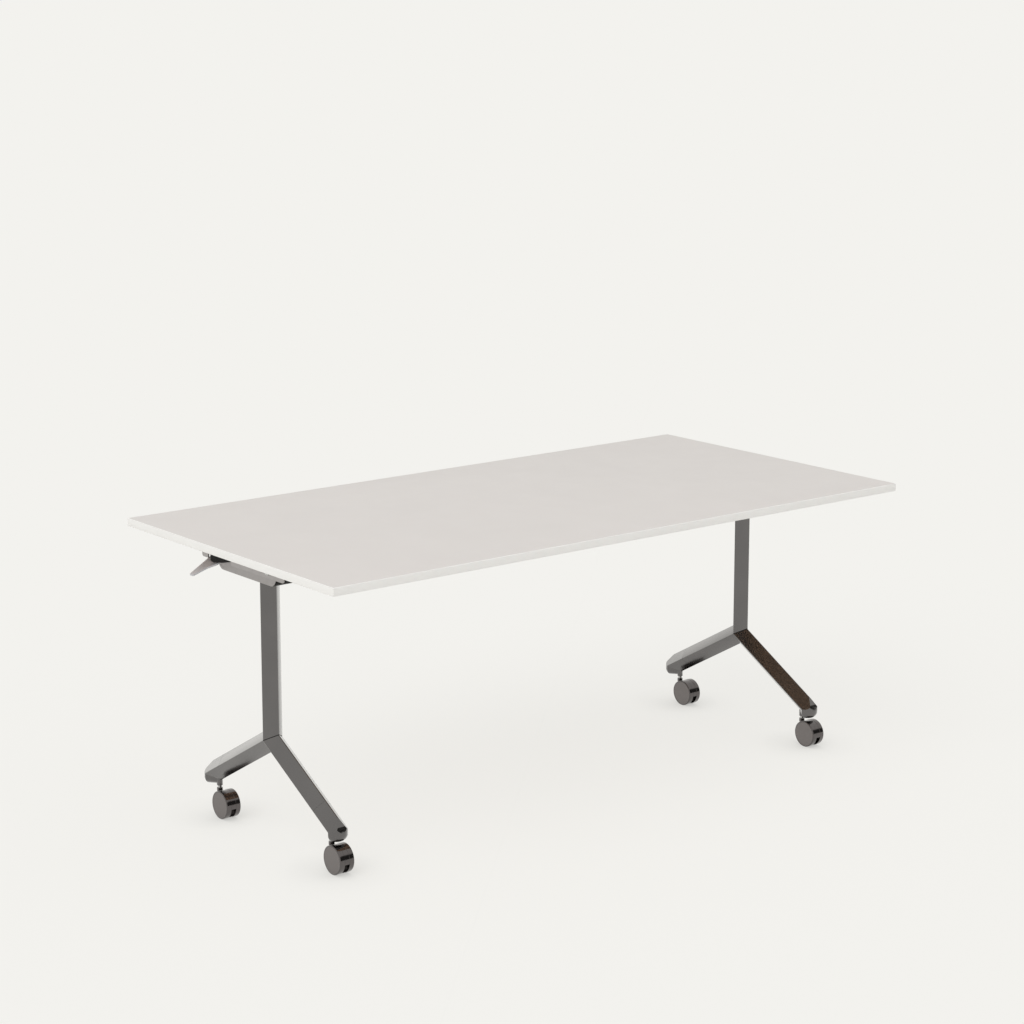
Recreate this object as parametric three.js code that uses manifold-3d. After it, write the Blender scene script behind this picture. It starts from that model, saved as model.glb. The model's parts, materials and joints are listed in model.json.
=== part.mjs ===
// Flip-top teacher desk on two Y-shaped castor frames.
// Millimetres, +Z up. The origin is on the floor below the centre of the top.
// X runs along the top's long side. The -Y edge swings down when the top flips.

import * as THREE from 'three';
import { mergeVertices } from 'three/addons/utils/BufferGeometryUtils.js';
import Module from 'manifold-3d';

const wasm = await Module();
wasm.setup();

// Fits and facets shared by all pieces
const seatGap = 0.3;
const runningGap = 0.5;
const cutOverrun = 2;
const arcSteps = 4;
const roundSides = 16;

// Table top
const topLength = 1800;
const topDepth = 900;
const topHeight = 740;
const boardThickness = 20;
const bandThickness = 2;

// Square tube of the frames, turned onto its edge
const tubeWidth = 40;
const tubeWall = 2.5;
const tubeCornerRadius = 2.5;

// Y frame: a post and two sloping legs
const frameInset = 125;
const legSlope = THREE.MathUtils.degToRad(29.5);
const legReach = 272;

// Castors: two wheels on a hooded body that swivels on a stem
const wheelDiameter = 71;
const wheelWidth = 13;
const wheelBevel = 2;
const wheelInnerBevel = 0.6;
const wheelSides = 32;
const wheelCap = 3;
const axleDiameter = 8;
const castorBodyWidth = 13;
const castorBodyInset = 0.3;
const castorTrail = 29;
const castorSetback = 26;
const castorHeadroom = 7;
const castorFloorGap = 3;
const castorPocketSetback = 14;
const castorPocketBottom = 7.5;
const castorPocketTop = 30;
const neckDiameter = 13;
const neckHeight = 70;
const neckFootHeight = 30;
const collarDiameter = 15;
const collarDepth = 8;
const stemDiameter = 10;
const stemDepth = 22;
const stemTailDiameter = 8;
const stemTailLength = 24;

// Foot casting that closes a leg and holds a castor
const toeDepth = 26;
const toeBulge = 21;
const toeSpread = THREE.MathUtils.degToRad(38);
const toeEdgeRadius = 17;
const toeLean = 6;
const toeLeanStart = 24;
const toeEndHeight = 38;
const toeNoseSlope = THREE.MathUtils.degToRad(52);
const toeSteps = 8;
const toeNoseRadius = 8;
const socketDiameter = 15;
const socketDrop = 1;
const footLength = 72;
const footPlugLength = 20;

// Head casting on each post, with the hinge at its front end
const headWidth = 58;
const headHeight = 59.5;
const headDrop = 12;
const headRear = 183;
const headFrontTopRadius = 22;
const headFrontBottomRadius = 26;
const headRearBottomRadius = 25;
const headRearTopRadius = 4;
const headEdgeRadius = 2.5;

// Hinge of the top
const hingeSetback = 45;
const hingeDrop = 34;
const hingePinDiameter = 12;
const hingeHeadDiameter = 20;
const hingeHeadThickness = 3;
const hingePinTail = 4;
const hingeWasherDiameter = 26;
const hingeWasherThickness = 1.2;
const swingGap = 2;

// Channel bracket under the top, over each head
const bracketDepth = 51;
const bracketThickness = 4;
const bracketFront = 112;
const bracketRear = 247;
const bracketCornerRadius = 6;
const windowFront = 117;
const windowRear = 220;

// Rest buffer on each head
const bufferDiameter = 18;
const bufferPosition = 128;

// Latch: a housing, a lever with a hook, and the strike bar that it holds
const housingFrontGap = 3;
const housingLength = 22;
const housingWall = 3.5;
const housingDepth = 51.4;
const cheekThickness = 4.7;
const cheekFrontGap = 1.5;
const cheekTopDrop = 8;
const cheekProfileDrops = [43, 51, 57.5];
const cheekBendReach = 152;
const cheekLowReach = 190;
const strikeWidth = 12;
const strikeThickness = 8;
const strikeDrop = 52;
const strikeReach = 20;
const strikeEmbed = 22;
const strikeSlotWidth = 15;
const strikeSlotRise = 9;
const leverPivotDrop = 30;
const leverPivotReach = 12;
const leverPinDiameter = 6;
const leverHubRadius = 12;
const leverLift = THREE.MathUtils.degToRad(8);
const leverSideGap = 1;
const leverSlotRise = 4;
const hookThickness = 13;
const hookGap = 1.2;
const hookBack = 9.8;
const hookHold = 3;
const hookNoseDepth = 7;
const paddleReach = 84;
const paddleTipDrop = 86;
const paddleTipFront = 212;
const paddleTipWidth = 16;
const paddleTipThickness = 3.5;
const paddleTipRadius = 5;
const paddleEdgeRadius = 1.2;
const paddleRootReach = 28;
const paddleRootRear = 244.4;
const paddleRootDrop = 61;
const paddleRootThickness = 5;
const paddleWaistReach = 48;
const paddleWaistFront = 204.5;
const paddleWaistRadius = 40;
const crankRadius = 9;
const crankPinDiameter = 4.4;
const crankPinReach = 10;
const crankHoleDiameter = 8;

// Rod that makes both latches open together
const rodDiameter = 6;
const rodEyeRadius = 4.9;
const rodEyeThickness = 6;
const rodHoleDiameter = 12;
const guideSpan = 840;
const guideWidth = 16;
const guideWall = 4;

// Crossbeam between the two heads
const crossbeamDepth = 60;
const crossbeamHeight = 40;
const crossbeamWall = 2.5;
const crossbeamFront = 22;
const crossbeamDrop = 20;
const crossbeamGap = 4;

// Heights and places that follow from the sizes above
const boardBottom = topHeight - boardThickness;
const frameOffset = topLength / 2 - frameInset;
const halfDiagonal = tubeWidth * Math.SQRT1_2;
const ridgeReach = halfDiagonal - tubeCornerRadius * (Math.SQRT2 - 1);
const footBottom = wheelDiameter + castorHeadroom;
const jointHeight = footBottom + toeDepth + legReach * Math.tan(legSlope);
const headTop = boardBottom - headDrop;
const headBottom = headTop - headHeight;
const plateTop = boardBottom - seatGap;
const plateBottom = plateTop - bracketThickness;
const bracketBottom = plateTop - bracketDepth;
const hingeHeight = boardBottom - hingeDrop;
const headFront = hingeSetback + plateBottom - hingeHeight - swingGap;
const flangeGap = hingeWasherThickness + 2 * seatGap;
const bracketInside = headWidth / 2 + flangeGap;
const bracketOutside = bracketInside + bracketThickness;
const swivelOffset = legReach - castorSetback;
const housingFront = headRear + housingFrontGap;
const housingRear = housingFront + housingLength;
const housingTop = plateBottom - seatGap;
const housingBottom = housingTop - housingDepth;
const housingHalfWidth = bracketInside - runningGap;
const cavityFront = housingFront + housingWall;
const cavityRear = housingRear - housingWall;
const cavityTop = housingTop - housingWall;
const strikeHeight = boardBottom - strikeDrop;
const strikeBottom = strikeHeight - strikeThickness / 2;
const leverPivotHeight = boardBottom - leverPivotDrop;
const hookFront = cavityFront + leverSideGap;
const hookRear = hookFront + hookThickness;
const crankRear = housingRear + crankPinReach;
const crankLean = leverLift / 2;
const rodPosition = housingRear + leverSideGap + runningGap + rodEyeThickness / 2;
const crossbeamTop = boardBottom - crossbeamDrop;
const crossbeamRear = crossbeamFront + crossbeamDepth;

// Materials
function finish(color, roughness, metalness) {
  return new THREE.MeshStandardMaterial({ color, roughness, metalness });
}

const laminate = finish(0xd8d2cc, 0.55, 0);
const edging = finish(0xe4e2dd, 0.5, 0);
const darkMetal = finish(0x5b5756, 0.22, 1);
const castorMetal = finish(0x55504f, 0.25, 0.9);
const lightMetal = finish(0x9b9896, 0.35, 1);
const steel = finish(0x8a8a8a, 0.3, 1);
const blackPlastic = finish(0x1c1c1d, 0.5, 0);
const rubber = finish(0x191919, 0.85, 0);
const nylon = finish(0xd9d9d4, 0.5, 0);

// An outline from corners [a, b, radius], with an arc at each corner that has a radius
function outline(corners, steps = arcSteps) {
  const points = [];
  corners.forEach(([a, b, radius = 0], index) => {
    const corner = new THREE.Vector2(a, b);
    if (radius === 0) {
      points.push(corner);
      return;
    }
    const [a0, b0] = corners[(index + corners.length - 1) % corners.length];
    const [a1, b1] = corners[(index + 1) % corners.length];
    const back = new THREE.Vector2(a0, b0).sub(corner).normalize();
    const ahead = new THREE.Vector2(a1, b1).sub(corner).normalize();
    const halfAngle = Math.acos(back.dot(ahead)) / 2;
    const centre = back.clone().add(ahead).normalize();
    centre.multiplyScalar(radius / Math.sin(halfAngle)).add(corner);
    const start = back.multiplyScalar(radius / Math.tan(halfAngle)).add(corner);
    const turn = Math.sign(ahead.cross(start.clone().sub(corner))) * (Math.PI - 2 * halfAngle);
    for (let step = 0; step <= steps; step += 1) {
      points.push(start.clone().rotateAround(centre, (turn * step) / steps));
    }
  });
  return points;
}

function rectangle(a0, b0, a1, b1) {
  return outline([[a0, b0], [a1, b0], [a1, b1], [a0, b1]]);
}

// Prisms: an outline in the two other axes, extruded along the named one
function prism(points, length, holes = []) {
  const shape = new THREE.Shape(points);
  holes.forEach((hole) => shape.holes.push(new THREE.Path(hole)));
  return new THREE.ExtrudeGeometry(shape, { depth: length, bevelEnabled: false });
}

function alongX(pointsYZ, from, to, holes = []) {
  const turned = new THREE.Matrix4().set(0, 0, 1, 0, 1, 0, 0, 0, 0, 1, 0, 0, 0, 0, 0, 1);
  return prism(pointsYZ, to - from, holes).applyMatrix4(turned).translate(from, 0, 0);
}

function alongY(pointsXZ, from, to) {
  const swapped = pointsXZ.map((point) => new THREE.Vector2(point.y, point.x));
  const turned = new THREE.Matrix4().set(0, 1, 0, 0, 0, 0, 1, 0, 1, 0, 0, 0, 0, 0, 0, 1);
  return prism(swapped, to - from).applyMatrix4(turned).translate(0, from, 0);
}

function alongZ(pointsXY, from, to, holes = []) {
  return prism(pointsXY, to - from, holes).translate(0, 0, from);
}

// Round bars along an axis, given their ends and the two other coordinates
function roundAlongX(diameter, from, to, y, z, sides = roundSides) {
  const bar = new THREE.CylinderGeometry(diameter / 2, diameter / 2, to - from, sides);
  return bar.rotateZ(Math.PI / 2).translate((from + to) / 2, y, z);
}

function roundAlongY(diameter, from, to, x, z) {
  const bar = new THREE.CylinderGeometry(diameter / 2, diameter / 2, to - from, roundSides);
  return bar.translate(x, (from + to) / 2, z);
}

function roundAlongZ(diameter, from, to, x, y) {
  const bar = new THREE.CylinderGeometry(diameter / 2, diameter / 2, to - from, roundSides);
  return bar.rotateX(Math.PI / 2).translate(x, y, (from + to) / 2);
}

// Booleans
function solidOf(geometry) {
  const bare = geometry.clone();
  bare.deleteAttribute('normal');
  bare.deleteAttribute('uv');
  const merged = mergeVertices(bare);
  return new wasm.Manifold(new wasm.Mesh({
    numProp: 3,
    vertProperties: merged.attributes.position.array,
    triVerts: Uint32Array.from(merged.index.array),
  }));
}

function geometryOf(solid) {
  const mesh = solid.getMesh();
  const geometry = new THREE.BufferGeometry();
  geometry.setAttribute('position', new THREE.BufferAttribute(mesh.vertProperties, 3));
  geometry.setIndex(new THREE.BufferAttribute(mesh.triVerts, 1));
  geometry.computeVertexNormals();
  return geometry;
}

function joined(...geometries) {
  return geometries.map(solidOf).reduce((sum, solid) => sum.add(solid));
}

function cut(solid, ...geometries) {
  return geometries.map(solidOf).reduce((rest, tool) => rest.subtract(tool), solid);
}

const desk = new THREE.Group();

function addPiece(parent, name, geometry, material) {
  const mesh = new THREE.Mesh(geometry, material);
  mesh.name = name;
  parent.add(mesh);
  return mesh;
}

function groupAt(parent, x, y, z) {
  const group = new THREE.Group();
  group.position.set(x, y, z);
  parent.add(group);
  return group;
}

// Table top: a board with an edge band round it
function addTop() {
  const halfLength = topLength / 2;
  const halfDepth = topDepth / 2;
  const bandInner = rectangle(
    bandThickness - halfLength, bandThickness - halfDepth,
    halfLength - bandThickness, halfDepth - bandThickness,
  );
  const bandOuter = rectangle(-halfLength, -halfDepth, halfLength, halfDepth);
  addPiece(desk, 'edge_band', alongZ(bandOuter, boardBottom, topHeight, [bandInner]), edging);
  const margin = bandThickness + seatGap;
  const board = rectangle(margin - halfLength, margin - halfDepth, halfLength - margin, halfDepth - margin);
  addPiece(desk, 'table_top', alongZ(board, boardBottom, topHeight), laminate);
}

// Square tube turned onto its edge, along +Z from one height to another
function diamond(halfSize, radius) {
  const corners = [[halfSize, 0], [0, halfSize], [-halfSize, 0], [0, -halfSize]];
  return outline(corners.map(([a, b]) => [a, b, radius]));
}

const outerDiamond = diamond(halfDiagonal, tubeCornerRadius);
const boreHalf = halfDiagonal - tubeWall * Math.SQRT2;
const innerDiamond = diamond(boreHalf, tubeCornerRadius / 2);

function tube(from, to) {
  return alongZ(outerDiamond, from, to, [innerDiamond]);
}

// Post and legs meet at one joint, each cut to a wedge by the two mitres at its end
const legMitre = (Math.PI / 2 - legSlope) / 2;

function mitreWedge(fromAngle, toAngle) {
  const spread = (toAngle - fromAngle) / 2;
  const direction = fromAngle + spread;
  const apexShift = seatGap / 2 / Math.sin(spread);
  const reach = topHeight;
  const at = (angle, length) => [
    Math.cos(angle) * length + Math.cos(direction) * apexShift,
    Math.sin(angle) * length + Math.sin(direction) * apexShift + jointHeight,
  ];
  const corners = [at(0, 0), at(fromAngle, reach), at(direction, 2 * reach), at(toAngle, reach)];
  return alongX(outline(corners), -tubeWidth, tubeWidth);
}

function postGeometry() {
  const bar = solidOf(tube(jointHeight - tubeWidth, headBottom - seatGap));
  return geometryOf(bar.intersect(solidOf(mitreWedge(legMitre, Math.PI - legMitre))));
}

// A leg slopes down towards +Y from the joint, so a prism along +Z is tipped over
const legLength = legReach / Math.cos(legSlope) - footLength;

function alongLeg(geometry) {
  return geometry.rotateX(-(Math.PI / 2 + legSlope)).translate(0, 0, jointHeight);
}

function legGeometry() {
  const bar = alongLeg(tube(-tubeWidth, legLength - seatGap));
  return geometryOf(solidOf(bar).intersect(solidOf(mitreWedge(-Math.PI / 2, legMitre))));
}

// A convex plan as a bowl with a rounded lower edge, up to a sloping plane
function bowl(plan, bottom, edgeRadius, heightAt) {
  const corners = [];
  const addLayer = (inset, heightOf) => {
    const layer = plan.offset(-inset, 'Miter').toPolygons().flat();
    layer.forEach(([x, y]) => corners.push([x, y, heightOf(y)]));
  };
  addLayer(0, heightAt);
  for (let step = 0; step <= toeSteps; step += 1) {
    const angle = (Math.PI / 2) * (step / toeSteps);
    addLayer(edgeRadius * (1 - Math.sin(angle)), () => bottom + edgeRadius * (1 - Math.cos(angle)));
  }
  return wasm.Manifold.hull(corners);
}

function planOf(points) {
  return wasm.CrossSection.ofPolygons([points.map(({ x, y }) => [x, y])]);
}

// Foot: the tube's own section with a steep nose, a bowl-shaped toe and a socket for the castor
function footGeometry() {
  const axisHeight = (y) => jointHeight - y * Math.tan(legSlope);
  const toeEnd = legReach + toeBulge;
  const halfRound = outline([
    [ridgeReach, 0],
    [ridgeReach, toeEnd, ridgeReach],
    [-ridgeReach, toeEnd, ridgeReach],
    [-ridgeReach, 0],
  ], toeSteps);
  const heelReach = socketDiameter / 2;
  const spreadReach = heelReach + (toeEnd - swivelOffset) * Math.tan(toeSpread);
  const wedge = outline([
    [heelReach, swivelOffset], [spreadReach, toeEnd], [-spreadReach, toeEnd], [-heelReach, swivelOffset],
  ]);
  const toePlan = planOf(halfRound).intersect(planOf(wedge));
  const noseHeight = footBottom + toeEndHeight;
  const profile = alongX(outline([
    [0, footBottom],
    [swivelOffset, footBottom],
    [toeEnd, footBottom + toeEdgeRadius],
    [toeEnd, footBottom + toeLeanStart],
    [toeEnd - toeLean, noseHeight, toeNoseRadius],
    [legReach, noseHeight + (toeBulge - toeLean) * Math.tan(toeNoseSlope)],
    [0, jointHeight + tubeWidth],
  ]), -tubeWidth, tubeWidth);
  const section = alongLeg(alongZ(outerDiamond, legLength, legLength + 2 * footLength));
  const end = alongZ(halfRound, 0, jointHeight);
  const nose = solidOf(section).intersect(solidOf(profile)).intersect(solidOf(end));
  const toe = bowl(toePlan, footBottom, toeEdgeRadius, axisHeight);
  const plugDiamond = diamond(boreHalf - seatGap, tubeCornerRadius / 2);
  const plug = alongLeg(alongZ(plugDiamond, legLength - footPlugLength, legLength + footLength / 2));
  const socket = roundAlongZ(
    socketDiameter, footBottom - socketDrop, axisHeight(swivelOffset), 0, swivelOffset,
  );
  const bore = roundAlongZ(
    stemDiameter + 2 * seatGap, footBottom - socketDrop - cutOverrun,
    footBottom + stemDepth + seatGap, 0, swivelOffset,
  );
  return geometryOf(cut(nose.add(toe).add(joined(plug, socket)), bore));
}

// Head: the fixed beam on the post, with the hinge bore and the strike bar's pocket
function headGeometry() {
  const side = alongX(outline([
    [-headFront, headBottom, headFrontBottomRadius],
    [headRear, headBottom, headRearBottomRadius],
    [headRear, headTop, headRearTopRadius],
    [-headFront, headTop, headFrontTopRadius],
  ]), -headWidth / 2, headWidth / 2);
  const front = alongY(outline([
    [-headWidth / 2, headBottom, headEdgeRadius],
    [headWidth / 2, headBottom, headEdgeRadius],
    [headWidth / 2, headTop, headEdgeRadius],
    [-headWidth / 2, headTop, headEdgeRadius],
  ]), -headFront - cutOverrun, headRear + cutOverrun);
  const hingeBore = roundAlongX(
    hingePinDiameter + 2 * seatGap, -headWidth, headWidth, -hingeSetback, hingeHeight,
  );
  const strikePocket = alongY(
    strikeSection(seatGap), headRear - strikeEmbed - seatGap, headRear + cutOverrun,
  );
  return geometryOf(cut(solidOf(side).intersect(solidOf(front)), hingeBore, strikePocket));
}

function strikeSection(margin) {
  const halfWidth = strikeWidth / 2 + margin;
  const halfHeight = strikeThickness / 2 + margin;
  return rectangle(-halfWidth, strikeHeight - halfHeight, halfWidth, strikeHeight + halfHeight);
}

function addHingePin(frame, side, outward) {
  const headStart = bracketOutside + seatGap;
  const head = roundAlongX(hingeHeadDiameter, headStart, headStart + hingeHeadThickness, 0, 0);
  const shaft = roundAlongX(
    hingePinDiameter, -bracketOutside - hingePinTail, headStart + hingeHeadThickness / 2, 0, 0,
  );
  const mesh = addPiece(frame, `${side}_hinge_pin`, geometryOf(joined(head, shaft)), steel);
  mesh.position.set(0, -hingeSetback, hingeHeight);
  mesh.rotation.z = outward > 0 ? 0 : Math.PI;
}

function circle(diameter) {
  const curve = new THREE.EllipseCurve(0, 0, diameter / 2, diameter / 2);
  return curve.getPoints(roundSides).slice(1);
}

function addHingeWashers(frame, side, outward) {
  const hole = circle(hingePinDiameter + 2 * seatGap);
  const seat = headWidth / 2 + seatGap;
  [['outer', outward], ['inner', -outward]].forEach(([place, direction]) => {
    const start = direction > 0 ? seat : -seat - hingeWasherThickness;
    const washer = alongX(circle(hingeWasherDiameter), start, start + hingeWasherThickness, [hole]);
    const mesh = addPiece(frame, `${side}_${place}_hinge_washer`, washer, nylon);
    mesh.position.set(0, -hingeSetback, hingeHeight);
  });
}

function addFrame(side, outward) {
  const frame = groupAt(desk, outward * frameOffset, 0, 0);
  addPiece(frame, `${side}_post`, postGeometry(), darkMetal);
  addPiece(frame, `${side}_head`, headGeometry(), lightMetal);
  [['rear', 0], ['front', Math.PI]].forEach(([place, turn]) => {
    const leg = addPiece(frame, `${side}_${place}_leg`, legGeometry(), darkMetal);
    leg.rotation.z = turn;
    const foot = addPiece(frame, `${side}_${place}_foot`, footGeometry(), darkMetal);
    foot.rotation.z = turn;
  });
  addHingePin(frame, side, outward);
  addHingeWashers(frame, side, outward);
  const strike = alongY(strikeSection(0), headRear - strikeEmbed, headRear + strikeReach);
  addPiece(frame, `${side}_strike_bar`, strike, steel);
  const buffer = roundAlongZ(bufferDiameter, headTop + seatGap, plateBottom - seatGap, 0, bufferPosition);
  addPiece(frame, `${side}_rest_buffer`, buffer, rubber);
}

function addCrossbeam() {
  const outer = rectangle(crossbeamFront, crossbeamTop - crossbeamHeight, crossbeamRear, crossbeamTop);
  const inner = rectangle(
    crossbeamFront + crossbeamWall, crossbeamTop - crossbeamHeight + crossbeamWall,
    crossbeamRear - crossbeamWall, crossbeamTop - crossbeamWall,
  );
  const end = frameOffset - headWidth / 2 - seatGap;
  addPiece(desk, 'crossbeam', alongX(outer, -end, end, [inner]), darkMetal);
}

// Channel bracket: a plate under the board and two flanges beside the head
function bracketGeometry(outward, rodHeight) {
  const flange = outline([
    [-bracketFront, bracketBottom, bracketCornerRadius],
    [bracketRear, bracketBottom, bracketCornerRadius],
    [bracketRear, plateTop],
    [-bracketFront, plateTop],
  ]);
  const block = solidOf(alongX(flange, -bracketOutside, bracketOutside));
  const channel = rectangle(-bracketInside, bracketBottom - cutOverrun, bracketInside, plateBottom);
  const ends = [-bracketFront - cutOverrun, bracketRear + cutOverrun];
  const hingeHole = roundAlongX(
    hingePinDiameter + 2 * seatGap, -bracketOutside - cutOverrun, bracketOutside + cutOverrun,
    -hingeSetback, hingeHeight,
  );
  const across = (points, direction) => {
    const near = direction * bracketInside - direction * flangeGap;
    const far = direction * (bracketOutside + cutOverrun);
    return alongX(points, Math.min(near, far), Math.max(near, far));
  };
  const crossbeamNotch = across(rectangle(
    crossbeamFront - crossbeamGap, bracketBottom - cutOverrun,
    crossbeamRear + crossbeamGap, crossbeamTop + crossbeamGap,
  ), -outward);
  const latchWindow = across(rectangle(
    windowFront, bracketBottom - cutOverrun, windowRear, plateBottom,
  ), outward);
  const holeEnds = [0, -outward * (bracketOutside + cutOverrun)];
  const rodHole = roundAlongX(
    rodHoleDiameter, Math.min(...holeEnds), Math.max(...holeEnds), rodPosition, rodHeight,
  );
  const openings = [alongY(channel, ...ends), hingeHole, crossbeamNotch, latchWindow, rodHole];
  return geometryOf(cut(block, ...openings));
}

// Latch housing: a cap open at the bottom, with a cheek that fills the bracket's window.
// Its walls leave room for the strike bar, the lever, its pin and its crank.
function housingGeometry(outward, crank) {
  const shell = solidOf(alongY(rectangle(
    -housingHalfWidth, housingBottom, housingHalfWidth, housingTop,
  ), housingFront, housingRear));
  const cheekInner = outward * (bracketInside - cutOverrun);
  const cheekOuter = outward * (bracketInside + cheekThickness);
  const [frontDrop, bendDrop, lowDrop] = cheekProfileDrops;
  const cheek = alongX(outline([
    [windowFront + cheekFrontGap, boardBottom - frontDrop],
    [cheekBendReach, boardBottom - bendDrop],
    [cheekLowReach, boardBottom - lowDrop],
    [housingRear, boardBottom - lowDrop],
    [housingRear, boardBottom - cheekTopDrop],
    [windowFront + cheekFrontGap, boardBottom - cheekTopDrop],
  ]), Math.min(cheekInner, cheekOuter), Math.max(cheekInner, cheekOuter));
  const headSpace = alongX(rectangle(
    0, housingBottom - cutOverrun, housingFront, boardBottom,
  ), -bracketInside, bracketInside);
  const inside = housingHalfWidth - housingWall;
  const cavity = alongY(rectangle(
    -inside, housingBottom - cutOverrun, inside, cavityTop,
  ), cavityFront, cavityRear);
  const strikeSlot = alongY(rectangle(
    -strikeSlotWidth / 2, housingBottom - cutOverrun, strikeSlotWidth / 2, strikeHeight + strikeSlotRise,
  ), housingFront - cutOverrun, cavityFront + cutOverrun);
  const slotEnds = [0, outward * bracketInside];
  const leverSlot = alongX(rectangle(
    cavityFront, housingBottom - cutOverrun, housingRear + cutOverrun, strikeHeight + leverSlotRise,
  ), Math.min(...slotEnds), Math.max(...slotEnds));
  const pinHole = roundAlongY(
    leverPinDiameter + 2 * seatGap, housingFront - cutOverrun, housingRear + cutOverrun,
    outward * leverPivotReach, leverPivotHeight,
  );
  const crankHole = roundAlongY(
    crankHoleDiameter, cavityRear - cutOverrun, housingRear + cutOverrun, crank.x, crank.z,
  );
  const body = shell.add(cut(solidOf(cheek), headSpace));
  return geometryOf(cut(body, cavity, strikeSlot, leverSlot, pinHole, crankHole));
}

// Lever: a hub on the lever pin, a hook under the strike bar and a paddle for the fingers
function leverGeometry(outward, crank) {
  const out = (corners) => outline(corners.map(([a, b, radius]) => [outward * a, b, radius]));
  const strikeSide = strikeWidth / 2;
  const noseTop = strikeBottom - hookGap;
  const noseTip = strikeSide - hookHold;
  const hookInner = strikeSide + hookGap;
  const hookOuter = hookInner + hookBack;
  const hook = alongY(out([
    [hookInner, leverPivotHeight],
    [hookInner, noseTop],
    [noseTip, noseTop],
    [noseTip, noseTop - hookNoseDepth, hookGap],
    [hookOuter, noseTop - hookNoseDepth, hookNoseDepth / 2],
    [hookOuter, leverPivotHeight],
  ]), hookFront, hookRear);
  const pivot = outward * leverPivotReach;
  const hub = roundAlongY(2 * leverHubRadius, hookFront, hookRear, pivot, leverPivotHeight);
  const tipHeight = boardBottom - paddleTipDrop;
  const rootHeight = boardBottom - paddleRootDrop;
  const paddleInner = hookInner + hookBack / 2;
  const faceSlope = (rootHeight - tipHeight) / (paddleReach - paddleRootReach);
  const innerHeight = rootHeight + faceSlope * (paddleRootReach - paddleInner);
  const paddleSide = alongY(out([
    [paddleInner, innerHeight],
    [paddleReach, tipHeight, paddleEdgeRadius],
    [paddleReach, tipHeight - paddleTipThickness, paddleEdgeRadius],
    [paddleInner, innerHeight - paddleRootThickness],
  ]), hookFront, paddleRootRear);
  const paddlePlan = alongZ(out([
    [paddleInner, hookFront],
    [paddleRootReach, hookFront],
    [paddleWaistReach, paddleWaistFront, paddleWaistRadius],
    [paddleReach, paddleTipFront, paddleTipRadius],
    [paddleReach, paddleTipFront + paddleTipWidth, paddleTipRadius],
    [paddleInner, paddleRootRear],
  ]), tipHeight - paddleTipThickness - cutOverrun, leverPivotHeight);
  const paddle = solidOf(paddleSide).intersect(solidOf(paddlePlan));
  const crankPin = roundAlongY(crankPinDiameter, hookRear - hookThickness / 2, crankRear, crank.x, crank.z);
  const pinHole = roundAlongY(
    leverPinDiameter + 2 * seatGap, hookFront - cutOverrun, hookRear + cutOverrun, pivot, leverPivotHeight,
  );
  return geometryOf(cut(joined(hook, hub, crankPin).add(paddle), pinHole));
}

// A crank pin, above or below the pivot. It leans back by half of the lift, so it swings evenly.
function crankPlace(outward, crankUp) {
  const way = crankUp ? 1 : -1;
  return new THREE.Vector3(
    outward * leverPivotReach - crankRadius * Math.sin(crankLean), rodPosition,
    leverPivotHeight + way * crankRadius * Math.cos(crankLean),
  );
}

function addLatch(side, outward, crank) {
  const latch = groupAt(desk, outward * frameOffset, 0, 0);
  addPiece(latch, `${side}_tilt_bracket`, bracketGeometry(outward, crank.z), lightMetal);
  addPiece(latch, `${side}_latch_housing`, housingGeometry(outward, crank), blackPlastic);
  addPiece(latch, `${side}_release_lever`, leverGeometry(outward, crank), lightMetal);
  const pinX = outward * leverPivotReach;
  const pin = roundAlongY(leverPinDiameter, housingFront, housingRear, pinX, leverPivotHeight);
  addPiece(latch, `${side}_lever_pin`, pin, steel);
}

// Rod from the left crank, above its pivot, to the right crank, below its pivot
function addRod(leftCrank, rightCrank) {
  const leftEnd = leftCrank.clone().setX(leftCrank.x - frameOffset);
  const rightEnd = rightCrank.clone().setX(rightCrank.x + frameOffset);
  const span = rightEnd.distanceTo(leftEnd);
  const slope = Math.asin((leftEnd.z - rightEnd.z) / span);
  const eye = (x) => roundAlongY(2 * rodEyeRadius, -rodEyeThickness / 2, rodEyeThickness / 2, x, 0);
  const hole = (x) => roundAlongY(crankPinDiameter + 2 * seatGap, -rodEyeThickness, rodEyeThickness, x, 0);
  const inset = rodEyeRadius - seatGap;
  const shaft = roundAlongX(rodDiameter, inset, span - inset, 0, 0);
  const rod = cut(joined(shaft, eye(0), eye(span)), hole(0), hole(span));
  const mesh = addPiece(desk, 'latch_rod', geometryOf(rod), steel);
  mesh.position.copy(leftEnd);
  mesh.rotation.y = slope;
  [['left', -1], ['right', 1]].forEach(([side, direction]) => {
    const x = (direction * guideSpan) / 2;
    const rodHeight = leftEnd.z - (x - leftEnd.x) * Math.tan(slope);
    addGuide(side, x, rodHeight);
  });
}

function addGuide(side, x, rodHeight) {
  const halfDepth = rodDiameter / 2 + runningGap + guideWall;
  const lowest = rodHeight - halfDepth;
  const block = alongX(outline([
    [-halfDepth, lowest, guideWall],
    [halfDepth, lowest, guideWall],
    [halfDepth, plateTop],
    [-halfDepth, plateTop],
  ]), -guideWidth / 2, guideWidth / 2);
  const bore = roundAlongX(rodDiameter + 2 * runningGap, -guideWidth, guideWidth, 0, rodHeight);
  const mesh = addPiece(desk, `${side}_rod_guide`, geometryOf(cut(solidOf(block), bore)), blackPlastic);
  mesh.position.set(x, rodPosition, 0);
}

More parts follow.
